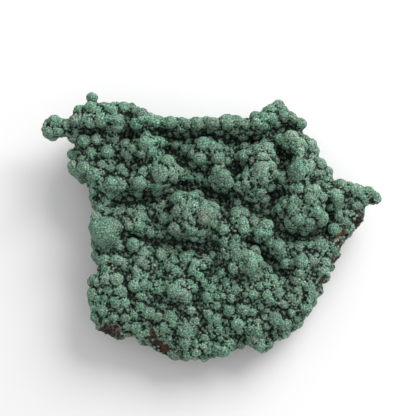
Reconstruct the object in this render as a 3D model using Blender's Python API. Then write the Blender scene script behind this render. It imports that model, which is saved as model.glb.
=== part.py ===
"""Malachite specimen: a botryoidal malachite crust grown on a broken slab of dark iron-oxide rock.

One natural solid, lying on its broken back with the crust facing up. X runs along its width, Y from its
front edge to its rear ridge, and Z up. The origin is on the ground, under the middle of its box.
Every length below is in millimetres; MM turns it into Blender's metres.
"""

import math
import random

import bmesh
import bpy
from mathutils import Vector, noise

MM = 0.001

# ---- Driving dimensions ----------------------------------------------------------------------------
WIDTH = 110.0  # between the tips of the left knob and the right arm, to half a millimetre
SLAB_MIDDLE = Vector((2.0, -1.0))  # plan point that the slab's rings shrink towards
SLAB_FLOOR = -1.6  # lowest level of the rough back, before it is dressed flat at the ground
STEM_FOOT = 6.0  # height inside the slab where a lobe's stem starts
STEM_ANGLE = math.radians(125.0)  # how far round from its crown a lobe goes before its stem starts
FRONT_EDGE, REAR_EDGE = -38.0, 30.0  # the first and last rows of the bed of small growth

# ---- Surface --------------------------------------------------------------------------------------
VOXEL = 0.95  # grid that fuses the slab and its lobes into one skin
SKIN_SMOOTH = 0.45
SKIN_SMOOTH_PASSES = 1
SKIN_SHARE = 0.16  # share of the fused skin's faces that the finished solid keeps
LOBE_SIDES, LOBE_RINGS = 16, 9
LOBE_GROWTH = 0.45  # the fine crust, added to every lobe's radius

# ---- Rock slab: plan outline at its widest, clockwise from the left end of the rear ridge -----------
SLAB_OUTLINE = [
    (-43.0, 27.0), (-41.0, 34.0), (-33.0, 36.5), (-21.0, 34.5), (0.0, 34.0), (11.0, 33.0), (19.0, 38.0),
    (27.0, 32.5), (31.0, 26.5), (35.5, 18.0), (43.0, 11.5), (51.0, 9.5), (51.0, 5.5), (47.0, -0.5),
    (43.0, -5.5), (40.0, -13.0), (35.5, -20.0), (30.8, -29.0), (22.0, -36.0), (11.0, -36.5),
    (2.0, -41.5), (-11.5, -42.5), (-18.5, -39.5), (-25.0, -34.0), (-31.0, -36.5), (-36.8, -33.5),
    (-38.0, -24.0), (-36.5, -12.0), (-37.0, 0.0), (-37.0, 9.0), (-43.5, 19.0),
]
# Rings of the slab from its back to its top: height, and scale of the outline about SLAB_MIDDLE
SLAB_RINGS = [
    (SLAB_FLOOR, 0.60), (0.4, 0.80), (3.5, 0.91), (7.5, 0.985), (11.0, 1.0), (13.5, 0.95), (14.5, 0.82),
]
ROUGHNESS_SIZE, ROUGHNESS_DEPTH = 9.0, 1.1  # the slab's broken faces

# ---- Crust lobes: x, y, height of the centre, radius ------------------------------------------------
BIG_DOMES = [
    (-4.5, 1.5, 21.0, 6.0), (29.5, 4.0, 20.5, 6.2), (14.5, 14.5, 20.0, 5.0), (-16.5, 15.0, 20.0, 4.6),
    (11.5, -12.0, 18.5, 4.4), (-28.5, 33.0, 19.5, 4.8), (-38.0, 33.0, 18.5, 4.2), (19.0, 33.0, 18.5, 4.8),
    (28.0, 17.0, 19.5, 4.8), (15.5, 22.0, 19.5, 4.2), (0.5, 23.0, 18.0, 4.4), (-21.0, 24.5, 18.5, 4.6),
    (-33.5, -2.0, 16.5, 4.9),
]
REAR_RIDGE = [
    (-50.6, 31.2, 20.5, 3.6), (-46.2, 31.4, 20.0, 3.2), (-41.5, 32.4, 21.0, 3.7), (-41.0, 36.0, 20.0, 2.8),
    (-37.2, 36.2, 20.5, 3.2), (-36.6, 32.2, 21.8, 3.2), (-32.0, 36.0, 21.0, 3.7), (-31.0, 31.8, 23.0, 3.6),
    (-26.5, 35.6, 21.0, 3.7), (-22.2, 33.0, 23.0, 4.0), (-17.6, 32.0, 21.6, 3.0), (-13.4, 31.6, 21.6, 3.1),
    (-9.4, 31.8, 21.2, 2.9), (-5.2, 31.4, 21.6, 3.1), (-1.2, 31.6, 21.4, 2.9), (3.0, 31.4, 21.6, 3.1),
    (7.2, 31.6, 21.8, 3.1), (11.0, 31.2, 21.4, 2.8),
]
REAR_HORN = [(-38.9, 39.0, 20.0, 1.5), (-38.9, 41.4, 20.2, 1.1)]
RIGHT_SHOULDER = [
    (16.5, 32.4, 21.5, 4.0), (21.0, 36.6, 19.5, 3.6), (25.0, 34.2, 19.5, 3.0), (28.2, 33.2, 18.0, 2.0),
    (23.0, 32.0, 19.0, 3.0), (27.0, 30.5, 16.5, 2.6), (24.0, 27.3, 21.5, 2.9), (27.6, 24.8, 22.5, 2.9),
    (32.0, 26.6, 18.0, 2.2), (32.4, 23.4, 16.5, 2.1), (18.0, 26.5, 18.5, 2.2), (32.6, 20.5, 18.5, 2.7),
    (36.4, 17.0, 17.5, 2.6), (33.4, 16.4, 19.0, 2.7), (28.0, 16.8, 23.0, 4.0), (23.3, 13.6, 19.5, 2.9),
]
RIGHT_ARM = [
    (37.0, 12.0, 18.0, 2.5), (41.6, 12.0, 18.5, 2.5), (46.0, 11.2, 18.0, 2.7), (50.0, 10.0, 17.0, 2.8),
    (52.8, 9.0, 15.5, 2.0), (39.4, 8.4, 20.5, 3.1), (45.4, 8.8, 17.5, 2.3), (45.5, 4.2, 16.5, 2.4),
    (41.4, 3.0, 17.5, 2.6),
]
UPPER_FACE = [
    (17.2, 22.4, 22.0, 3.4), (12.6, 21.8, 21.0, 3.0), (17.0, 15.6, 23.0, 4.4), (11.5, 13.0, 21.0, 3.3),
    (14.5, 10.4, 19.5, 3.2), (3.2, 13.8, 22.0, 3.8), (-1.0, 25.0, 21.0, 3.3), (-3.6, 21.6, 20.5, 3.0),
    (2.0, 21.0, 20.5, 3.0), (-7.5, 25.0, 18.5, 1.9), (-8.0, 28.4, 18.5, 1.6), (-10.3, 17.2, 20.0, 2.3),
    (-15.0, 16.6, 23.0, 4.3), (-19.5, 16.0, 21.5, 3.0), (-23.0, 13.0, 21.0, 3.1), (-16.5, 12.8, 21.5, 3.1),
    (-21.0, 20.2, 20.0, 2.0), (-19.5, 25.4, 22.0, 4.4), (-25.0, 23.4, 20.5, 2.9),
]
LEFT_SHOULDER = [
    (-36.0, 28.8, 19.5, 2.8), (-40.6, 27.4, 18.5, 2.8), (-31.0, 27.0, 19.0, 2.5), (-27.0, 27.2, 19.0, 2.1),
    (-33.0, 23.4, 18.5, 2.8), (-38.4, 22.6, 18.5, 2.5), (-43.4, 23.0, 16.0, 2.6), (-43.0, 19.0, 16.5, 2.7),
    (-40.0, 18.2, 19.0, 2.4), (-36.8, 16.0, 19.5, 2.6), (-33.4, 19.2, 18.5, 2.4), (-28.0, 17.6, 18.5, 2.4),
    (-30.5, 12.0, 20.0, 3.2), (-35.6, 12.4, 17.0, 2.7), (-37.6, 7.6, 14.0, 1.8),
]
CENTRE = [
    (-1.5, 2.4, 25.0, 3.9), (-6.4, 4.0, 23.5, 3.4), (-10.0, 2.0, 21.5, 2.8), (-5.6, -2.0, 23.0, 3.2),
    (-9.6, -2.0, 21.5, 2.7), (-10.6, 8.6, 20.5, 2.3), (-6.0, 8.2, 21.0, 2.6), (9.0, 3.0, 19.5, 2.9),
    (16.5, -2.2, 20.5, 3.3), (10.2, -1.0, 20.0, 2.9), (4.2, -1.2, 19.5, 2.5), (7.0, -6.0, 19.5, 2.2),
    (3.0, -7.0, 19.0, 1.8), (10.5, -7.0, 18.5, 1.7), (8.0, -9.8, 21.0, 2.4), (13.0, -10.6, 22.0, 3.1),
    (12.6, -14.0, 21.0, 3.3), (9.2, -13.4, 20.0, 2.4),
]
RIGHT_DOME = [
    (27.0, 10.0, 22.0, 2.9), (32.5, 8.0, 24.0, 3.8), (27.6, 5.4, 23.5, 3.3), (33.0, 2.2, 23.0, 3.4),
    (29.6, 0.0, 22.5, 3.0), (25.6, 0.6, 21.5, 2.9), (23.0, 5.0, 20.5, 2.5),
]
LEFT_FACE = [
    (-36.2, 0.2, 19.0, 3.0), (-33.4, -2.0, 19.0, 4.4), (-30.6, -1.8, 18.8, 3.6), (-33.5, 6.0, 17.0, 2.5),
    (-26.0, 4.0, 17.5, 2.1), (-22.5, 6.2, 17.5, 2.3), (-19.2, 4.6, 17.0, 2.3), (-24.0, 0.0, 18.5, 2.9),
    (-19.5, -1.6, 17.0, 2.5), (-33.0, -12.0, 16.5, 2.8), (-22.5, -12.4, 17.5, 3.1),
    (-12.6, -12.4, 17.5, 2.6), (-7.5, -11.0, 17.0, 1.9),
]
FRONT_FACE = [
    (-36.6, -8.6, 15.0, 1.9), (-37.4, -17.4, 15.0, 2.0), (-37.2, -22.6, 15.0, 2.0),
    (-29.6, -18.4, 18.0, 2.6), (-23.5, -18.0, 18.0, 2.7), (-34.5, -19.6, 16.0, 2.3),
    (-28.0, -22.0, 17.0, 2.9), (-10.2, -21.2, 18.5, 3.5), (-13.8, -20.0, 18.0, 2.5),
    (-21.6, -23.0, 17.0, 2.9), (-36.4, -27.4, 14.0, 2.1),
    (-34.0, -31.0, 13.0, 2.5), (-22.0, -31.0, 14.5, 2.5), (-13.0, -30.0, 16.0, 2.7),
    (-15.6, -33.0, 14.0, 3.0), (-28.0, -29.0, 14.0, 2.5), (-16.6, -27.0, 16.0, 2.2),
    (-1.0, -30.0, 15.5, 2.7), (-4.0, -26.6, 16.0, 2.0), (1.6, -24.0, 16.5, 2.3), (3.4, -33.4, 13.5, 2.6),
    (4.0, -37.2, 11.0, 3.4), (-2.0, -39.6, 7.5, 2.8), (9.0, -36.0, 9.5, 2.6), (16.4, -36.4, 10.5, 3.6),
    (8.5, -31.2, 15.5, 2.7), (13.5, -32.6, 14.0, 2.0), (19.0, -29.8, 15.5, 2.9), (23.0, -33.4, 11.0, 2.4),
]
FRONT_FINGER = [
    (-8.0, -34.0, 15.5, 2.6), (-7.8, -36.2, 12.8, 2.3), (-7.6, -38.4, 9.5, 2.2), (-7.4, -40.0, 6.5, 2.2),
]
RIGHT_FACE = [
    (21.5, -7.4, 19.0, 2.1), (24.5, -5.6, 17.5, 1.7), (23.0, -13.0, 17.5, 1.7), (29.0, -12.4, 18.5, 2.9),
    (33.0, -11.0, 17.5, 2.3), (27.5, -17.4, 18.0, 2.7), (33.5, -17.0, 15.5, 2.2), (35.0, -7.0, 17.5, 2.4),
    (38.4, -1.4, 16.0, 1.9), (38.0, -9.6, 14.5, 2.0), (25.0, -24.0, 15.5, 2.4), (18.0, -22.8, 17.0, 2.7),
    (21.0, -26.4, 15.5, 2.2), (12.0, -21.0, 17.5, 2.9), (7.5, -19.0, 17.5, 2.8), (27.0, -29.0, 12.5, 2.5),
    (31.4, -22.0, 13.5, 2.3),
]
LOBES = [
    *BIG_DOMES, *REAR_RIDGE, *REAR_HORN, *RIGHT_SHOULDER, *RIGHT_ARM, *UPPER_FACE, *LEFT_SHOULDER,
    *CENTRE, *RIGHT_DOME, *LEFT_FACE, *FRONT_FACE, *FRONT_FINGER, *RIGHT_FACE,
]

# ---- Bed of small growth between the lobes ----------------------------------------------------------
BED_SPACING = 3.8
BED_RADIUS = (2.4, 3.2)
BED_LEVEL = 16.8
BED_FALL = 0.32  # how much lower the bed is for each millimetre past the front edge's start
BED_TURN_DOWN = -24.0  # where the bed starts to fall towards the front

# ---- Grooves under and between the shelves: depth, then plan points along the groove ------------------
GROOVES = [
    (3.2, [(-46.0, 29.4), (-38.0, 30.2), (-30.0, 29.4), (-20.0, 29.2), (-15.0, 29.4)]),
    (4.6, [(-16.0, 29.2), (-4.0, 28.8), (6.0, 28.6), (14.0, 28.6), (20.0, 30.4), (25.0, 31.2)]),
    (3.4, [(-30.0, 7.6), (-20.0, 8.4), (-13.6, 10.0), (-9.0, 12.4), (-2.4, 11.2), (3.0, 9.8), (5.0, 6.8)]),
    (3.4, [(-28.0, -3.6), (-21.4, -4.6), (-10.0, -5.4), (-2.7, -7.6), (1.4, -7.0)]),
    (2.2, [(-19.6, 5.0), (-17.8, 0.2), (-20.6, -4.6)]),
    (3.4, [(12.6, -7.0), (18.4, -11.0), (22.8, -15.6)]),
    (3.2, [(34.6, 10.0), (37.0, 5.2), (36.2, -1.2), (32.0, -3.8), (24.0, -3.0)]),
    (2.2, [(19.2, 14.0), (20.8, 8.4), (17.0, 4.0), (12.0, 5.6)]),
    (3.2, [(-15.6, 23.8), (-11.0, 23.6), (-9.0, 20.0)]),
    (3.0, [(11.0, 19.8), (6.6, 17.4), (8.0, 13.8)]),
    (2.0, [(21.8, 22.8), (24.4, 21.8), (22.6, 17.6)]),
    (2.2, [(-26.4, 35.6), (-25.6, 31.0)]),
    (1.6, [(1.8, -13.0), (-3.0, -18.0), (-4.6, -24.0), (-2.0, -33.0)]),
    (1.6, [(-36.0, -8.6), (-29.0, -8.2), (-20.0, -8.6)]),
    (1.4, [(-25.0, -12.0), (-26.6, -17.0), (-24.6, -25.0), (-17.6, -24.0)]),
]
GROOVE_REACH = 3.0  # distance from its line where a groove has run out
GROOVE_ROOT = 9.0  # level under which the grooves move nothing
GROOVE_FULL = 16.0  # level from which they cut to their full depth


def clear_scene():
    for scene_object in list(bpy.data.objects):
        bpy.data.objects.remove(scene_object, do_unlink=True)


def inside_outline(x, y, scale=1.0):
    """True where a plan point lies over the slab, or over the slab scaled about its middle."""
    px = (x - SLAB_MIDDLE.x) / scale + SLAB_MIDDLE.x
    py = (y - SLAB_MIDDLE.y) / scale + SLAB_MIDDLE.y
    inside = False
    last = SLAB_OUTLINE[-1]
    for corner in SLAB_OUTLINE:
        crosses = (corner[1] > py) != (last[1] > py)
        if crosses and px < (last[0] - corner[0]) * (py - corner[1]) / (last[1] - corner[1]) + corner[0]:
            inside = not inside
        last = corner
    return inside


def slab_mesh():
    """The rock slab: rings of the outline stacked from its back to its top, then roughened."""
    bm = bmesh.new()
    rings = []
    for height, scale in SLAB_RINGS:
        ring = []
        for x, y in SLAB_OUTLINE:
            plan = SLAB_MIDDLE + (Vector((x, y)) - SLAB_MIDDLE) * scale
            ring.append(bm.verts.new((plan.x, plan.y, height)))
        rings.append(ring)
    corners = len(SLAB_OUTLINE)
    faces = [bm.faces.new(rings[0]), bm.faces.new(reversed(rings[-1]))]
    for lower, upper in zip(rings, rings[1:]):
        for i in range(corners):
            j = (i + 1) % corners
            faces.append(bm.faces.new((lower[i], upper[i], upper[j], lower[j])))
    bmesh.ops.triangulate(bm, faces=faces)
    bmesh.ops.subdivide_edges(bm, edges=bm.edges[:], cuts=2, use_grid_fill=True)
    for vert in bm.verts:
        vert.co += noise.noise_vector(vert.co / ROUGHNESS_SIZE) * ROUGHNESS_DEPTH
    bmesh.ops.recalc_face_normals(bm, faces=bm.faces)
    points = [tuple(vert.co) for vert in bm.verts]
    faces = [tuple(vert.index for vert in face.verts) for face in bm.faces]
    bm.free()
    return points, faces


def lobe_profile(x, y, height, radius):
    """The levels of a lobe's crown and foot, and the (distance from its axis, level) rings between them.

    Over the slab a lobe stands on a stem. Past the slab's edge it is a plain ball, held by its neighbours.
    """
    on_slab = inside_outline(x, y) and height - radius > STEM_FOOT
    widest_turn = STEM_ANGLE if on_slab else math.pi * (1.0 - 1.0 / LOBE_RINGS)
    rings = []
    for i in range(1, LOBE_RINGS + 1):
        turn = widest_turn * i / LOBE_RINGS
        rings.append((radius * math.sin(turn), height + radius * math.cos(turn)))
    if on_slab:
        rings.append((radius, STEM_FOOT))
    foot = STEM_FOOT if on_slab else height - radius
    return height + radius, rings, foot


def lobe_mesh(x, y, height, radius):
    """One lobe, its profile turned about a vertical axis."""
    crown, profile, foot = lobe_profile(x, y, height, radius)
    points = [(x, y, crown)]
    for distance, level in profile:
        for side in range(LOBE_SIDES):
            turn = 2 * math.pi * side / LOBE_SIDES
            points.append((x + distance * math.cos(turn), y + distance * math.sin(turn), level))
    points.append((x, y, foot))
    last = len(points) - 1
    faces = []
    for side in range(LOBE_SIDES):
        after = (side + 1) % LOBE_SIDES
        faces.append((0, 1 + side, 1 + after))
        for ring in range(len(profile) - 1):
            upper, lower = 1 + ring * LOBE_SIDES, 1 + (ring + 1) * LOBE_SIDES
            faces.append((upper + side, lower + side, lower + after, upper + after))
        lowest = 1 + (len(profile) - 1) * LOBE_SIDES
        faces.append((lowest + side, last, lowest + after))
    return points, faces


def grown_lobes():
    """The hand-placed lobes, each thickened by the fine crust."""
    for x, y, height, radius in LOBES:
        yield x, y, height, radius + LOBE_GROWTH


def bed_lumps():
    """Seeded lumps that raise the bed between the named lobes."""
    dice = random.Random(7)
    columns = int(WIDTH / BED_SPACING) + 1
    rows = int((REAR_EDGE - FRONT_EDGE) / BED_SPACING) + 1
    for row in range(rows):
        for column in range(columns):
            x = -WIDTH / 2 + (column + 0.5 * (row % 2) + dice.uniform(-0.3, 0.3)) * BED_SPACING
            y = FRONT_EDGE + (row + dice.uniform(-0.3, 0.3)) * BED_SPACING
            radius = dice.uniform(*BED_RADIUS)
            if not inside_outline(x, y, 0.95):
                continue
            fall = BED_FALL * max(0.0, BED_TURN_DOWN - y)
            yield x, y, BED_LEVEL - fall + dice.uniform(-0.5, 0.5), radius


def overlapping_shapes():
    """The slab, lobes and bed as overlapping closed shapes in one mesh, in metres."""
    points, faces = [], []
    shapes = [slab_mesh(), *(lobe_mesh(*lobe) for lobe in (*grown_lobes(), *bed_lumps()))]
    for shape_points, shape_faces in shapes:
        first = len(points)
        points += [(x * MM, y * MM, z * MM) for x, y, z in shape_points]
        faces += [tuple(first + corner for corner in face) for face in shape_faces]
    mesh = bpy.data.meshes.new("malachite_specimen")
    mesh.from_pydata(points, [], faces)
    return mesh


def ground_cutter():
    """A block below the ground, which dresses the broken back flat where it rests."""
    size = 2.0 * WIDTH * MM
    bpy.ops.mesh.primitive_cube_add(size=size, location=(0.0, 0.0, -size / 2))
    cutter = bpy.context.object
    cutter.name = "ground_cutter"
    cutter.hide_render = True
    cutter.display_type = "WIRE"
    return cutter


def malachite_material():
    material = bpy.data.materials.new("malachite")
    material.use_nodes = True
    shader = material.node_tree.nodes["Principled BSDF"]
    shader.inputs["Base Color"].default_value = (0.11, 0.25, 0.16, 1.0)
    shader.inputs["Roughness"].default_value = 0.75
    shader.inputs["Metallic"].default_value = 0.0
    return material


def fused_skin():
    """The slab, lobes and bed as one closed mesh."""
    shapes = bpy.data.objects.new("overlapping_shapes", overlapping_shapes())
    bpy.context.scene.collection.objects.link(shapes)
    fuse = shapes.modifiers.new("fuse", "REMESH")
    fuse.mode = "VOXEL"
    fuse.voxel_size = VOXEL * MM
    fuse.use_smooth_shade = True
    soften = shapes.modifiers.new("soften", "SMOOTH")
    soften.factor = SKIN_SMOOTH
    soften.iterations = SKIN_SMOOTH_PASSES
    skin = bpy.data.meshes.new_from_object(shapes.evaluated_get(bpy.context.evaluated_depsgraph_get()))
    bpy.data.objects.remove(shapes, do_unlink=True)
    return skin


def groove_depth(x, y):
    """How deep the deepest groove cuts at a plan point."""
    deepest = 0.0
    place = Vector((x, y))
    for depth, line in GROOVES:
        for start, end in zip(map(Vector, line), map(Vector, line[1:])):
            along = end - start
            share = min(1.0, max(0.0, (place - start).dot(along) / along.length_squared))
            distance = (place - start - share * along).length
            if distance < GROOVE_REACH:
                fall = 0.5 + 0.5 * math.cos(math.pi * distance / GROOVE_REACH)
                deepest = max(deepest, depth * fall)
    return deepest


def cut_grooves(skin):
    """Press the skin down along the grooves: not at all at their root, and fully at the top."""
    for vert in skin.vertices:
        x, y, z = vert.co / MM
        share = min(1.0, max(0.0, (z - GROOVE_ROOT) / (GROOVE_FULL - GROOVE_ROOT)))
        if share > 0.0:
            vert.co.z -= share * groove_depth(x, y) * MM


def build_specimen():
    skin = fused_skin()
    cut_grooves(skin)
    skin.materials.append(malachite_material())
    specimen = bpy.data.objects.new("malachite_specimen", skin)
    bpy.context.scene.collection.objects.link(specimen)

    thin = specimen.modifiers.new("thin", "DECIMATE")
    thin.ratio = SKIN_SHARE
    thin.use_collapse_triangulate = True

    dress = specimen.modifiers.new("dress_back", "BOOLEAN")
    dress.operation = "DIFFERENCE"
    dress.solver = "EXACT"
    dress.object = ground_cutter()
    return specimen


def centre_over_origin(specimen):
    """Slide the finished solid along the ground until its box is centred on the origin."""
    finished = specimen.evaluated_get(bpy.context.evaluated_depsgraph_get())
    corners = [Vector(corner) for corner in finished.bound_box]
    specimen.location.x -= (min(c.x for c in corners) + max(c.x for c in corners)) / 2
    specimen.location.y -= (min(c.y for c in corners) + max(c.y for c in corners)) / 2


clear_scene()
centre_over_origin(build_specimen())
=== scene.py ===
"""Looks of the malachite specimen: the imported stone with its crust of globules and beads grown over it.

The CAD stone gives the large form. Globules are seeded over its crust, the largest on what stands out, and
fused with it. Finer beads are seeded over them and fused again, and the broken rock below is roughened.
Lengths are in millimetres in the mesh work, and MM turns them into Blender's metres. X runs along the stone,
Y to its rear ridge, and Z up.
"""

import math
from collections import defaultdict, namedtuple

import bmesh
import bpy
import numpy as np
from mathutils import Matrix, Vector, kdtree, noise


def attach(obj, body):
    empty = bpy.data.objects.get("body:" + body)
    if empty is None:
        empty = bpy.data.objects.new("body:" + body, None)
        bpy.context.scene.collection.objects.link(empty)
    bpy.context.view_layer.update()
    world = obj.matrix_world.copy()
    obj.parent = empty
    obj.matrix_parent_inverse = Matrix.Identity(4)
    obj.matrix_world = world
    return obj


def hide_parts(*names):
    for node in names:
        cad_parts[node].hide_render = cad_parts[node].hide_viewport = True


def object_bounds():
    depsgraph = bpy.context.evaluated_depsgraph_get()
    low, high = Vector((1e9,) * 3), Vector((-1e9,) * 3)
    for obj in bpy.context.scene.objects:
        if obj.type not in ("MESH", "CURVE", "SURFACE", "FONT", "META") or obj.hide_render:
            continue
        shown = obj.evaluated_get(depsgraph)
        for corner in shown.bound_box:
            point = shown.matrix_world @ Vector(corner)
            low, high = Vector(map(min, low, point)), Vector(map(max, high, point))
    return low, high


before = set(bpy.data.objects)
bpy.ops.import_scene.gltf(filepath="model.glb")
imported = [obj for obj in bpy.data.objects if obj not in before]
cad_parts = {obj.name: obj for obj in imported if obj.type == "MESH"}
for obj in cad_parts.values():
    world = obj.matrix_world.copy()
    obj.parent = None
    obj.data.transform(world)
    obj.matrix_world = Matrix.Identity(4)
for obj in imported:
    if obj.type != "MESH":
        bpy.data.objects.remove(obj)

CAD_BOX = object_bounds()
MM = 0.001
NODE = "malachite_specimen"

Surface = namedtuple("Surface", "points triangles")  # points in millimetres
Seeds = namedtuple("Seeds", "centres radii")

# ---- Mesh ----------------------------------------------------------------------------------------
BODY_VOXEL = 0.6  # grid for the bare stone
LUMPY_VOXEL = 0.3  # grid that fuses the globules onto it
SKIN_VOXEL = 0.25  # grid that fuses the beads onto the globules
BODY_SOFTENING = (0.5, 3)  # factor and passes of smoothing after each of the three
LUMPY_SOFTENING = (0.3, 1)
SKIN_SOFTENING = (0.2, 1)
CRUST_DEPTH = 0.8  # how far the stone is taken back where the crust grows over it
DOME_DEPTH_SHARE = 0.8  # share of that left out on the smooth domes, where nothing grows back
HOLLOW_FILL = 1.0  # how far growth fills the deepest hollows
HOLLOW_STARTS = 0.8  # relief below the smoothed surface at which the filling starts
STEEP_EXPOSURE = 0.3  # least share of its relief that a steep face counts as exposure

# ---- Crust ---------------------------------------------------------------------------------------
GROWTH_SEED = 11
TINT_SEED = 5
GLOBULE_RADII = (2.4, 0.75)  # the first seeds are the largest
GLOBULE_GAP = 0.80  # least distance between globules, as a share of the sum of their radii
GLOBULE_SUNK = 0.30  # how deep a globule's centre lies under the surface, as a share of its radius
GLOBULE_SUNK_VARIES = 0.3
BEAD_RADII = (0.80, 0.32)
BEAD_GAP = 0.80
BEAD_SUNK = 0.40
BEAD_SUNK_VARIES = 0.2
BEADS_SHOWN = 0.25  # how much further out the beads stand in the gaps
BEADS_CLEARED = 0.7  # share of the beads that is missing on the smooth domes
DEEP_GAP = 0.5  # relief of a gap that counts as fully deep
OUT_OF_ROUND = 0.14
PATCH_SIZE = 4.0  # seeds grow in patches about this wide
SIZE_FALL = 0.32  # how fast sizes fall along the order of the seeds: the lower, the fewer large ones
EXPOSURE_MIXING = 0.9  # how much chance blurs the order in which exposed places are taken
GAP_MIXING = 0.15  # and in which the gaps are taken by beads
MOST_EXPOSED = 0.9  # a place that stands out further is taken no sooner
SEEDS_PER_PLACE = 4.0  # candidates for each place that a seed could take
BROAD_PASSES = 70  # smoothing that tells a dome from a hollow
GAP_PASSES = 40  # smoothing that tells the gaps between globules, before there are beads
LUMP_PASSES = 80  # smoothing that tells a globule from the gaps around it, on the finished skin
FINE_PASSES = 12  # smoothing that tells a bead from the gap beside it

# ---- Broken rock ---------------------------------------------------------------------------------
ROCK_TOP = 7.0  # the walls are bare rock up to about this height
ROCK_EDGE = 3.5  # how far the crust's lower edge wanders
WANDER_SIZE, RAGGED_SIZE = 7.0, 2.0  # broad and fine waves of that edge
EDGE_FADE = 1.5  # height over which the crust runs out
PATCH_FADE = 0.8  # distance over which it runs out at a bare patch
GROUND_FADE = 1.5  # the rock's pits run out this far above the ground
ROCK_PITTING = 1.0  # how deep the broken faces are pitted
ROCK_ROUGHNESS = 0.9  # and how deep their fine pits go
STRAY_BEADS = 0.015  # share of the places on the bare rock where a bead may still grow
GRIT = 0.11  # fine roughness of the crust

# ---- Map for baking ------------------------------------------------------------------------------
FOLD_HEIGHT = 10.0  # walls are folded out below this height
UNDERSIDE_SHARE = 0.18  # the strip left for the underside, and the scale it is drawn at
MAP_MARGIN = 0.004

# ---- Light and camera ----------------------------------------------------------------------------
KEY_DIRECTION = (0.52, 0.58, 0.62)
KEY_DISTANCE, KEY_SIZE, KEY_POWER = 0.7, 0.50, 5.0  # metres, metres and watts
STUDIO_LIGHT = 0.67  # strength of the white all around
FLOOR_SIZE = 3.0  # metres
CAMERA_ELEVATION = 80.0  # degrees
LENS, SENSOR = 100.0, 36.0
FRAME_WIDTH = 134.6  # width seen at the target
STONE_MIDDLE = (-1.3, 0.0, 12.0)  # the target before it is shifted up in the frame
SHIFT_UP = 6.47


def from_box(across, along):
    """The plan point at those shares of the CAD box's width and depth, in millimetres."""
    low, high = CAD_BOX
    return (
        (low[0] + across * (high[0] - low[0])) / MM,
        (low[1] + along * (high[1] - low[1])) / MM,
    )


# Domes with a smooth skin, where few globules grew: shares of the box's width and depth, and a radius
SMOOTH_DOMES = [
    (0.19, 0.465, 6.6), (0.60, 0.36, 4.6), (0.43, 0.12, 4.0), (0.48, 0.53, 3.2), (0.245, 0.875, 3.4),
    (0.34, 0.88, 3.6), (0.635, 0.69, 3.8), (0.74, 0.68, 3.8), (0.35, 0.675, 3.4), (0.85, 0.59, 4.2),
]
# Bare places near the crust's rim: shares of the box's width and depth, and a radius
BARE_PATCHES = [
    (0.20, 0.095, 3.7), (0.335, 0.05, 3.7), (0.935, 0.52, 3.6), (0.97, 0.565, 2.4), (0.885, 0.44, 3.6),
    (0.865, 0.37, 2.2), (0.83, 0.28, 2.4),
]


def mesh_object(name, surface):
    """A new object with that surface, in metres."""
    mesh = bpy.data.meshes.new(name)
    points, triangles = surface
    mesh.vertices.add(len(points))
    mesh.vertices.foreach_set("co", (points * MM).astype(np.float32).ravel())
    mesh.loops.add(triangles.size)
    mesh.loops.foreach_set("vertex_index", triangles.astype(np.int32).ravel())
    mesh.polygons.add(len(triangles))
    mesh.polygons.foreach_set("loop_start", np.arange(0, triangles.size, 3, dtype=np.int32))
    mesh.update(calc_edges=True)
    piece = bpy.data.objects.new(name, mesh)
    bpy.context.scene.collection.objects.link(piece)
    return piece


def surface_of(piece):
    """An object's surface as it is evaluated, in millimetres."""
    evaluated = piece.evaluated_get(bpy.context.evaluated_depsgraph_get())
    mesh = evaluated.to_mesh()
    mesh.calc_loop_triangles()
    points = np.empty(len(mesh.vertices) * 3, np.float32)
    mesh.vertices.foreach_get("co", points)
    triangles = np.empty(len(mesh.loop_triangles) * 3, np.int32)
    mesh.loop_triangles.foreach_get("vertices", triangles)
    evaluated.to_mesh_clear()
    return Surface(points.reshape(-1, 3).astype(float) / MM, triangles.reshape(-1, 3))


def facings(surface):
    """Each triangle's normal, twice its area long."""
    corners = surface.points[surface.triangles]
    return np.cross(corners[:, 1] - corners[:, 0], corners[:, 2] - corners[:, 0])


def normals_of(surface):
    """The normal at each point, of length one."""
    facing = facings(surface)
    at = surface.triangles.ravel()
    summed = [
        np.bincount(at, weights=np.repeat(facing[:, axis], 3), minlength=len(surface.points))
        for axis in range(3)
    ]
    normals = np.stack(summed, axis=1)
    return normals / np.maximum(np.linalg.norm(normals, axis=1, keepdims=True), 1e-12)


def joined(surfaces):
    """Several surfaces as one list of points and triangles."""
    points, triangles, first = [], [], 0
    for surface in surfaces:
        points.append(surface.points)
        triangles.append(surface.triangles + first)
        first += len(surface.points)
    return Surface(np.concatenate(points), np.concatenate(triangles))


def fused(surfaces, voxel, softening):
    """One closed skin over overlapping closed surfaces."""
    piece = mesh_object("fusing", joined(surfaces))
    remesh = piece.modifiers.new("fuse", "REMESH")
    remesh.mode = "VOXEL"
    remesh.voxel_size = voxel * MM
    smooth = piece.modifiers.new("soften", "SMOOTH")
    smooth.factor, smooth.iterations = softening
    surface = surface_of(piece)
    bpy.data.objects.remove(piece, do_unlink=True)
    return surface


def balls(seeds, fineness, rng):
    """Icospheres on all the seeds, a little out of round, as one surface."""
    bm = bmesh.new()
    bmesh.ops.create_icosphere(bm, subdivisions=fineness, radius=1.0)
    bm.verts.index_update()
    ball = np.array([vert.co[:] for vert in bm.verts])
    faces = np.array([[vert.index for vert in face.verts] for face in bm.faces])
    bm.free()
    stretch = rng.uniform(1.0 - OUT_OF_ROUND, 1.0 + OUT_OF_ROUND, (len(seeds.radii), 3))
    stretched = seeds.radii[:, None] * stretch
    points = seeds.centres[:, None, :] + stretched[:, None, :] * ball[None]
    first = np.arange(len(seeds.radii))[:, None, None] * len(ball)
    return Surface(points.reshape(-1, 3), (faces[None] + first).reshape(-1, 3))


def noise_at(points, size):
    """Smooth noise, mostly from -1 to 1, in waves about that wide."""
    return np.array([noise.noise(point) for point in map(Vector, points / size)])


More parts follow.
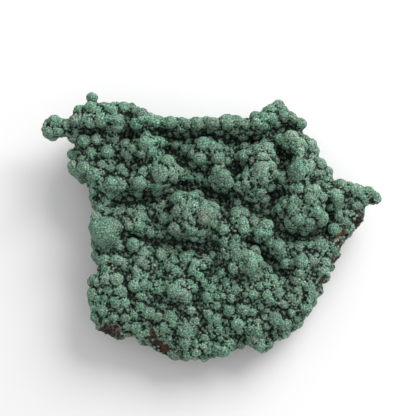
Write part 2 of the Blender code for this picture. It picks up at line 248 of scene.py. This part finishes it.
def crust_share(points, normals):
    """1 where the crust grows, 0 on the bare rock of the walls, the back and the bare patches."""
    wander, ragged = noise_at(points, WANDER_SIZE), noise_at(points + 20.0, RAGGED_SIZE)
    height = (points[:, 2] - ROCK_TOP - ROCK_EDGE * (wander + 0.5 * ragged)) / EDGE_FADE
    upward = (normals[:, 2] + 0.75) / 0.3
    share = np.clip(np.minimum(height, upward), 0.0, 1.0)
    for across, along, radius in BARE_PATCHES:
        distance = np.linalg.norm(points[:, :2] - from_box(across, along), axis=1)
        reach = radius * (1.0 + 0.4 * wander + 0.8 * ragged)
        share = np.minimum(share, np.clip((distance - reach) / PATCH_FADE, 0.0, 1.0))
    return share


def smooth_share(points):
    """1 on the smooth domes, 0 where globules grow as usual."""
    share = np.zeros(len(points))
    for across, along, radius in SMOOTH_DOMES:
        distance = np.linalg.norm(points[:, :2] - from_box(across, along), axis=1)
        share = np.maximum(share, np.clip(radius - distance, 0.0, 1.0))
    return share


def smoothed(values, triangles, passes):
    """Values at a mesh's points, averaged with their neighbours that many times."""
    starts = triangles.ravel()
    ends = np.roll(triangles, -1, axis=1).ravel()
    size = len(values)
    neighbours = np.bincount(starts, minlength=size) + np.bincount(ends, minlength=size)
    for _ in range(passes):
        columns = [
            np.bincount(starts, weights=values[ends, i], minlength=size)
            + np.bincount(ends, weights=values[starts, i], minlength=size)
            for i in range(values.shape[1])
        ]
        values = np.stack(columns, axis=1) / neighbours[:, None]
    return values


def relief(surface, normals, passes):
    """How far each point stands out of the smoothed surface: over zero on a dome, under it in a hollow."""
    return ((surface.points - smoothed(surface.points, surface.triangles, passes)) * normals).sum(axis=1)


def scattered(surface, values, count, rng):
    """Random places spread evenly over a surface, with the normals and the values there."""
    facing = facings(surface)
    areas = np.linalg.norm(facing, axis=1)
    chosen = rng.choice(len(areas), count, p=areas / areas.sum())
    a, b = rng.random((2, count, 1))
    a, b = np.where(a + b > 1.0, 1.0 - a, a), np.where(a + b > 1.0, 1.0 - b, b)
    corners = surface.points[surface.triangles[chosen]]
    places = corners[:, 0] + a * (corners[:, 1] - corners[:, 0]) + b * (corners[:, 2] - corners[:, 0])
    normals = normals_of(surface)[surface.triangles[chosen]].mean(axis=1)
    normals /= np.linalg.norm(normals, axis=1, keepdims=True)
    return places, normals, values[surface.triangles[chosen]].mean(axis=1)


def spaced(places, radii, gap):
    """Which seeds to keep, in order, so that no two are nearer than gap times the sum of their radii."""
    cell = 2.0 * gap * max(radii)
    around = [(i, j, k) for i in (-1, 0, 1) for j in (-1, 0, 1) for k in (-1, 0, 1)]
    cells = defaultdict(list)
    kept = []
    for index, ((x, y, z), radius) in enumerate(zip(places.tolist(), radii.tolist())):
        column, row, layer = int(x // cell), int(y // cell), int(z // cell)
        free = True
        for i, j, k in around:
            for ox, oy, oz, other in cells.get((column + i, row + j, layer + k), ()):
                if (x - ox) ** 2 + (y - oy) ** 2 + (z - oz) ** 2 < (gap * (radius + other)) ** 2:
                    free = False
                    break
            if not free:
                break
        if free:
            cells[column, row, layer].append((x, y, z, radius))
            kept.append(index)
    return kept


def grown(surface, exposure, radii, gap, mixing, strays, rng):
    """Places, normals, radii and exposures of seeds on the crust, the largest on what stands out most.

    Strays is the share of the places on the bare rock where a seed may still grow.
    """
    area = np.linalg.norm(facings(surface), axis=1).sum() / 2.0
    count = int(SEEDS_PER_PLACE * area / (2.0 * gap * min(radii)) ** 2)
    places, normals, exposures = scattered(surface, exposure, count, rng)
    patches = np.clip(0.55 + 1.6 * noise_at(places, PATCH_SIZE), 0.12, 1.0)
    growing = np.maximum(crust_share(places, normals), strays * (places[:, 2] > ROCK_EDGE))
    on_crust = growing * patches > rng.random(count)
    places, normals, exposures = places[on_crust], normals[on_crust], exposures[on_crust]
    chance = mixing * rng.standard_normal(len(exposures))
    order = np.argsort(-(np.minimum(exposures, MOST_EXPOSED) + chance))
    places, normals, exposures = places[order], normals[order], exposures[order]
    share = np.linspace(0.0, 1.0, len(places)) ** SIZE_FALL
    sizes = radii[0] + (radii[1] - radii[0]) * share
    kept = spaced(places, sizes, gap)
    return places[kept], normals[kept], sizes[kept], exposures[kept]


def bare_stone():
    """The CAD stone, smoothed and taken back where the crust grows over it, with its broad relief."""
    bm = bmesh.new()
    bm.from_mesh(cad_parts[NODE].data)
    bmesh.ops.remove_doubles(bm, verts=bm.verts, dist=1e-6)
    bmesh.ops.triangulate(bm, faces=bm.faces)
    bm.verts.index_update()
    points = np.array([vert.co[:] for vert in bm.verts]) / MM
    triangles = np.array([[vert.index for vert in face.verts] for face in bm.faces])
    bm.free()
    stone = fused([Surface(points, triangles)], BODY_VOXEL, BODY_SOFTENING)
    normals = normals_of(stone)
    exposure = relief(stone, normals, BROAD_PASSES) * np.clip(normals[:, 2], STEEP_EXPOSURE, 1.0)
    hollow = np.clip(-exposure - HOLLOW_STARTS, 0.0, 1.0)
    crust = crust_share(stone.points, normals)
    on_dome = DOME_DEPTH_SHARE * smooth_share(stone.points)
    covered = CRUST_DEPTH * (1.0 - on_dome) - HOLLOW_FILL * hollow
    broken = 0.6 * np.abs(noise_at(stone.points, 3.4)) + 0.6 * np.abs(noise_at(stone.points + 50.0, 1.5))
    off_ground = np.clip(stone.points[:, 2] / GROUND_FADE, 0.0, 1.0)
    depth = covered * crust + ROCK_PITTING * broken * off_ground * (1.0 - crust)
    taken_back = Surface(stone.points - normals * depth[:, None], stone.triangles)
    return taken_back, exposure


def globules_on(body, exposure, rng):
    """Seeds of the globules. They keep off the smooth domes, and none stands above the CAD's top."""
    places, normals, radii, _ = grown(
        body, exposure, GLOBULE_RADII, GLOBULE_GAP, EXPOSURE_MIXING, 0.0, rng
    )
    grew = smooth_share(places) < rng.uniform(0.0, 1.2, len(places))
    places, normals, radii = places[grew], normals[grew], radii[grew]
    varied = rng.uniform(-GLOBULE_SUNK_VARIES, GLOBULE_SUNK_VARIES, len(radii))
    sunk = radii * (GLOBULE_SUNK + varied)
    centres = places - normals * sunk[:, None]
    centres[:, 2] = np.minimum(centres[:, 2], CAD_BOX[1][2] / MM - radii)
    return Seeds(centres, radii)


def beads_on(lumpy, rng):
    """Seeds of the beads over and between the globules, the largest in the deepest gaps."""
    bumps = relief(lumpy, normals_of(lumpy), GAP_PASSES)
    places, normals, radii, depths = grown(
        lumpy, -bumps, BEAD_RADII, BEAD_GAP, GAP_MIXING, STRAY_BEADS, rng
    )
    grew = BEADS_CLEARED * smooth_share(places) < rng.random(len(places))
    places, normals, radii, depths = places[grew], normals[grew], radii[grew], depths[grew]
    in_gap = np.clip(depths / DEEP_GAP, -1.0, 1.0)
    varied = rng.uniform(-BEAD_SUNK_VARIES, BEAD_SUNK_VARIES, len(radii))
    sunk = radii * (BEAD_SUNK - BEADS_SHOWN * in_gap + varied)
    return Seeds(places - normals * sunk[:, None], radii)


def malachite_stone():
    """The finished stone: bare stone, globules and beads fused into one skin, with its material."""
    rng = np.random.default_rng(GROWTH_SEED)
    body, exposure = bare_stone()
    globules = globules_on(body, exposure, rng)
    lumpy = fused([body, balls(globules, 3, rng)], LUMPY_VOXEL, LUMPY_SOFTENING)
    beads = beads_on(lumpy, rng)
    skin = fused([lumpy, balls(beads, 2, rng)], SKIN_VOXEL, SKIN_SOFTENING)
    skin = roughened(skin, beads)
    stone = mesh_object("botryoidal_malachite", skin)
    stone.data.polygons.foreach_set("use_smooth", np.ones(len(skin.triangles), bool))
    add_attributes(stone, skin, beads, globules, body, exposure)
    add_bake_map(stone, skin)
    stone.data.materials.append(malachite_material())
    return stone


def nearest(points, centres):
    """For each point, the index of the nearest centre and how far away it is."""
    tree = kdtree.KDTree(len(centres))
    for index, centre in enumerate(centres):
        tree.insert(centre, index)
    tree.balance()
    found = [tree.find(point)[1:] for point in points]
    indices, distances = zip(*found)
    return np.array(indices), np.array(distances)


def crust_shown(skin, normals, beads):
    """As crust_share, but stray beads on the bare rock count as crust."""
    bead, distance = nearest(skin.points, beads.centres)
    on_bead = np.clip(8.0 * (1.25 - distance / beads.radii[bead]), 0.0, 1.0)
    return np.maximum(crust_share(skin.points, normals), on_bead)


def roughened(skin, beads):
    """The skin with fine grit on the crust and sharp pits in the bare rock, and nothing under the ground."""
    normals = normals_of(skin)
    crust = crust_shown(skin, normals, beads)
    grit = GRIT * (noise_at(skin.points, 0.7) + 0.7 * noise_at(skin.points, 0.4))
    pits = ROCK_ROUGHNESS * (np.abs(noise_at(skin.points, 1.3)) + 0.6 * np.abs(noise_at(skin.points, 0.7)))
    off_ground = np.clip(skin.points[:, 2] / GROUND_FADE, 0.0, 1.0)
    points = skin.points + normals * (crust * grit - (1.0 - crust) * off_ground * pits)[:, None]
    points[:, 2] = np.maximum(points[:, 2], 0.0)
    return Surface(points, skin.triangles)


def add_attributes(stone, skin, beads, globules, body, exposure):
    """Values at the skin's points that the material reads.

    gap, lump and dome are relief at three scales, and the tints are one number for each bead and globule.
    """
    normals = normals_of(skin)
    dice = np.random.default_rng(TINT_SEED)
    in_body, _ = nearest(skin.points, body.points)
    bead, _ = nearest(skin.points, beads.centres)
    globule, _ = nearest(skin.points, globules.centres)
    values = {
        "gap": relief(skin, normals, FINE_PASSES),
        "lump": relief(skin, normals, LUMP_PASSES),
        "dome": exposure[in_body],
        "crust": crust_shown(skin, normals, beads),
        "bead_tint": dice.random(len(beads.radii))[bead],
        "globule_tint": dice.random(len(globules.radii))[globule],
    }
    for name, value in values.items():
        attribute = stone.data.attributes.new(name, "FLOAT", "POINT")
        attribute.data.foreach_set("value", value.astype(np.float32))


def add_bake_map(stone, skin):
    """A map for baking: the stone from above with its walls folded out around it, and its underside below."""
    plan, height = skin.points[:, :2], skin.points[:, 2]
    outward = plan / np.maximum(np.linalg.norm(plan, axis=1, keepdims=True), 1.0)
    above = plan + outward * np.maximum(FOLD_HEIGHT - height, 0.0)[:, None]
    side = np.ptp(above, axis=0).max() * (1.0 + 2.5 * MAP_MARGIN)
    above = (above - above.min(axis=0)) / side + (MAP_MARGIN, UNDERSIDE_SHARE)
    below = (plan - plan.min(axis=0)) / side * UNDERSIDE_SHARE + MAP_MARGIN
    facing = facings(skin)
    faces_down = facing[:, 2] < -0.7 * np.linalg.norm(facing, axis=1)
    underneath = faces_down & (height[skin.triangles].mean(axis=1) < ROCK_TOP)
    corners = np.where(underneath[:, None, None], below[skin.triangles], above[skin.triangles])
    layer = stone.data.uv_layers.new(name="OFBake")
    layer.uv.foreach_set("vector", corners.astype(np.float32).ravel())


def malachite_material():
    """Sage green on the crust with painted glints, dark in its gaps from a dark coating and painted shade,
    with painted shade in its hollows, and brown on the bare rock.
    """
    material = bpy.data.materials.new("malachite")
    material.use_nodes = True
    nodes, links = material.node_tree.nodes, material.node_tree.links
    shader = nodes["Principled BSDF"]

    def attribute(name):
        node = nodes.new("ShaderNodeAttribute")
        node.attribute_name = name
        return node.outputs["Fac"]

    def grain(size, detail=2.0):
        node = nodes.new("ShaderNodeTexNoise")
        node.inputs["Scale"].default_value = 1.0 / (size * MM)
        node.inputs["Detail"].default_value = detail
        links.new(position, node.inputs["Vector"])
        return node.outputs["Fac"]

    def scaled(value, low, high, to_low=0.0, to_high=1.0):
        node = nodes.new("ShaderNodeMapRange")
        node.inputs["From Min"].default_value = low
        node.inputs["From Max"].default_value = high
        node.inputs["To Min"].default_value = to_low
        node.inputs["To Max"].default_value = to_high
        links.new(value, node.inputs["Value"])
        return node.outputs["Result"]

    def maths(operation, a, b):
        node = nodes.new("ShaderNodeMath")
        node.operation = operation
        for socket, value in zip(node.inputs, (a, b)):
            if isinstance(value, (int, float)):
                socket.default_value = value
            else:
                links.new(value, socket)
        return node.outputs["Value"]

    def blend(share, first, second):
        node = nodes.new("ShaderNodeMix")
        node.data_type = "RGBA"
        sockets = (node.inputs[0], node.inputs[6], node.inputs[7])
        for socket, value in zip(sockets, (share, first, second)):
            if isinstance(value, (int, float)):
                socket.default_value = value
            elif isinstance(value, tuple):
                socket.default_value = (*value, 1.0)
            else:
                links.new(value, socket)
        return node.outputs[2]

    def cells(size):
        node = nodes.new("ShaderNodeTexVoronoi")
        node.inputs["Scale"].default_value = 1.0 / (size * MM)
        links.new(position, node.inputs["Vector"])
        return node.outputs["Distance"]

    position = nodes.new("ShaderNodeNewGeometry").outputs["Position"]
    fine = grain(0.45, 3.0)
    granule = cells(0.62)
    globule_tint = attribute("globule_tint")
    # Sage green, with each bead and globule a little lighter, darker, greyer or yellower
    green = blend(attribute("bead_tint"), (0.050, 0.118, 0.077), (0.122, 0.210, 0.157))
    green = blend(scaled(globule_tint, 0.60, 1.0, 0.0, 0.6), green, (0.17, 0.26, 0.19))
    green = blend(scaled(globule_tint, 0.16, 0.0, 0.0, 0.5), green, (0.10, 0.105, 0.08))
    # Greyer and greener clouds of several sizes
    green = blend(scaled(grain(7.0), 0.45, 0.75, 0.0, 0.5), green, (0.085, 0.12, 0.09))
    green = blend(scaled(grain(1.3), 0.54, 0.68, 0.0, 0.5), green, (0.125, 0.125, 0.105))
    green = blend(scaled(grain(2.1), 0.54, 0.66, 0.0, 0.6), green, (0.052, 0.170, 0.105))
    green = blend(scaled(grain(11.0), 0.48, 0.60, 0.0, 0.35), green, (0.070, 0.180, 0.115))
    # Darker in the gaps between globules, but for the tops of the beads that fill them: partly a darker
    # coating there and partly painted shade
    bead_top = scaled(attribute("gap"), 0.0, 0.12, 0.0, 0.6)
    out_of_gap = maths("MAXIMUM", scaled(attribute("lump"), -0.35, 0.05), bead_top)
    green = blend(scaled(out_of_gap, 0.0, 0.8, 0.6, 0.0), green, (0.062, 0.122, 0.082))
    # Fine grain, with painted shade towards the edges of the fine granules
    shade = maths("MULTIPLY", scaled(fine, 0.35, 0.65, 0.44, 1.84), scaled(granule, 0.25, 0.70, 1.25, 0.55))
    # Painted shade in the gaps between globules and painted light on their tops
    shade = maths("MULTIPLY", shade, scaled(out_of_gap, 0.0, 1.0, 0.42, 1.42))
    # Painted shade in the broad hollows and painted light on the domes
    shade = maths("MULTIPLY", shade, scaled(attribute("dome"), -1.2, 0.5, 0.80, 1.12))
    lit = nodes.new("ShaderNodeVectorMath")
    lit.operation = "SCALE"
    links.new(green, lit.inputs[0])
    links.new(shade, lit.inputs["Scale"])
    # Pale grains painted on the crust as glints, a painted highlight. The crevices are near black, partly a
    # dark coating and partly painted shade, with reddish flecks of the rock
    crevice_shade_and_flecks = blend(scaled(grain(0.9), 0.60, 0.72), (0.004, 0.012, 0.007), (0.026, 0.012, 0.010))
    depth = maths("ADD", attribute("gap"), scaled(fine, 0.25, 0.75, -0.03, 0.03))
    crust_with_painted_glints = blend(scaled(grain(0.36, 1.0), 0.60, 0.68, 0.0, 0.85), lit.outputs[0], (0.290, 0.275, 0.250))
    crust = blend(scaled(depth, -0.12, 0.0), crevice_shade_and_flecks, crust_with_painted_glints)
    # Dark brown rock with paler grains, darker clouds and rusty patches, and a pale rim of broken crust
    rock = blend(scaled(grain(1.2, 4.0), 0.40, 0.62), (0.007, 0.005, 0.005), (0.115, 0.088, 0.070))
    rock = blend(scaled(grain(0.6), 0.60, 0.70, 0.0, 0.8), rock, (0.19, 0.18, 0.15))
    rock = blend(scaled(grain(8.0, 5.0), 0.42, 0.58, 0.0, 0.7), rock, (0.016, 0.010, 0.008))
    rock = blend(scaled(grain(5.0, 5.0), 0.54, 0.64, 0.0, 0.6), rock, (0.105, 0.048, 0.024))
    rim = scaled(maths("ABSOLUTE", maths("SUBTRACT", attribute("crust"), 0.5), 0.0), 0.15, 0.48, 0.9, 0.0)
    colour = blend(attribute("crust"), rock, crust)
    colour = blend(maths("MULTIPLY", rim, scaled(grain(1.8), 0.42, 0.58)), colour, (0.20, 0.33, 0.25))
    links.new(colour, shader.inputs["Base Color"])
    links.new(scaled(fine, 0.25, 0.75, 0.55, 0.85), shader.inputs["Roughness"])
    shader.inputs["Specular IOR Level"].default_value = 0.18
    bump = nodes.new("ShaderNodeBump")
    bump.inputs["Distance"].default_value = 0.32 * MM
    bump.inputs["Strength"].default_value = 0.9
    links.new(maths("SUBTRACT", fine, granule), bump.inputs["Height"])
    links.new(bump.outputs["Normal"], shader.inputs["Normal"])
    return material


def floor():
    bpy.ops.mesh.primitive_plane_add(size=FLOOR_SIZE, location=(0.0, 0.0, 0.0))
    plane = bpy.context.object
    plane.name = "floor"
    material = bpy.data.materials.new("white_paper")
    material.use_nodes = True
    shader = material.node_tree.nodes["Principled BSDF"]
    shader.inputs["Base Color"].default_value = (0.85, 0.85, 0.85, 1)
    shader.inputs["Roughness"].default_value = 0.9
    plane.data.materials.append(material)


def softbox(name, direction, distance, size, power):
    light = bpy.data.lights.new(name, "AREA")
    light.shape = "DISK"
    light.size = size
    light.energy = power
    lamp = bpy.data.objects.new(name, light)
    towards = Vector(direction).normalized()
    lamp.location = towards * distance
    lamp.rotation_mode = "QUATERNION"
    lamp.rotation_quaternion = towards.to_track_quat("Z", "Y")
    bpy.context.scene.collection.objects.link(lamp)


def studio():
    softbox("key_softbox", KEY_DIRECTION, KEY_DISTANCE, KEY_SIZE, KEY_POWER)
    world = bpy.data.worlds.new("studio")
    world.use_nodes = True
    background = world.node_tree.nodes["Background"]
    background.inputs["Color"].default_value = (1.0, 1.0, 1.0, 1.0)
    background.inputs["Strength"].default_value = STUDIO_LIGHT
    bpy.context.scene.world = world
    bpy.context.scene.view_settings.view_transform = "Standard"


def camera():
    elevation = math.radians(CAMERA_ELEVATION)
    back = Vector((0.0, -math.cos(elevation), math.sin(elevation)))
    up = Vector((0.0, math.sin(elevation), math.cos(elevation)))
    target = Vector(STONE_MIDDLE) + up * SHIFT_UP
    data = bpy.data.cameras.new("camera")
    data.lens = LENS
    data.sensor_width = SENSOR
    data.clip_start = 0.01
    eye = bpy.data.objects.new("camera", data)
    eye.location = (target + back * FRAME_WIDTH * LENS / SENSOR) * MM
    eye.rotation_mode = "QUATERNION"
    eye.rotation_quaternion = back.to_track_quat("Z", "Y")
    bpy.context.scene.collection.objects.link(eye)
    bpy.context.scene.camera = eye


stone = malachite_stone()
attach(stone, "root")
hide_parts(NODE)
floor()
studio()
camera()
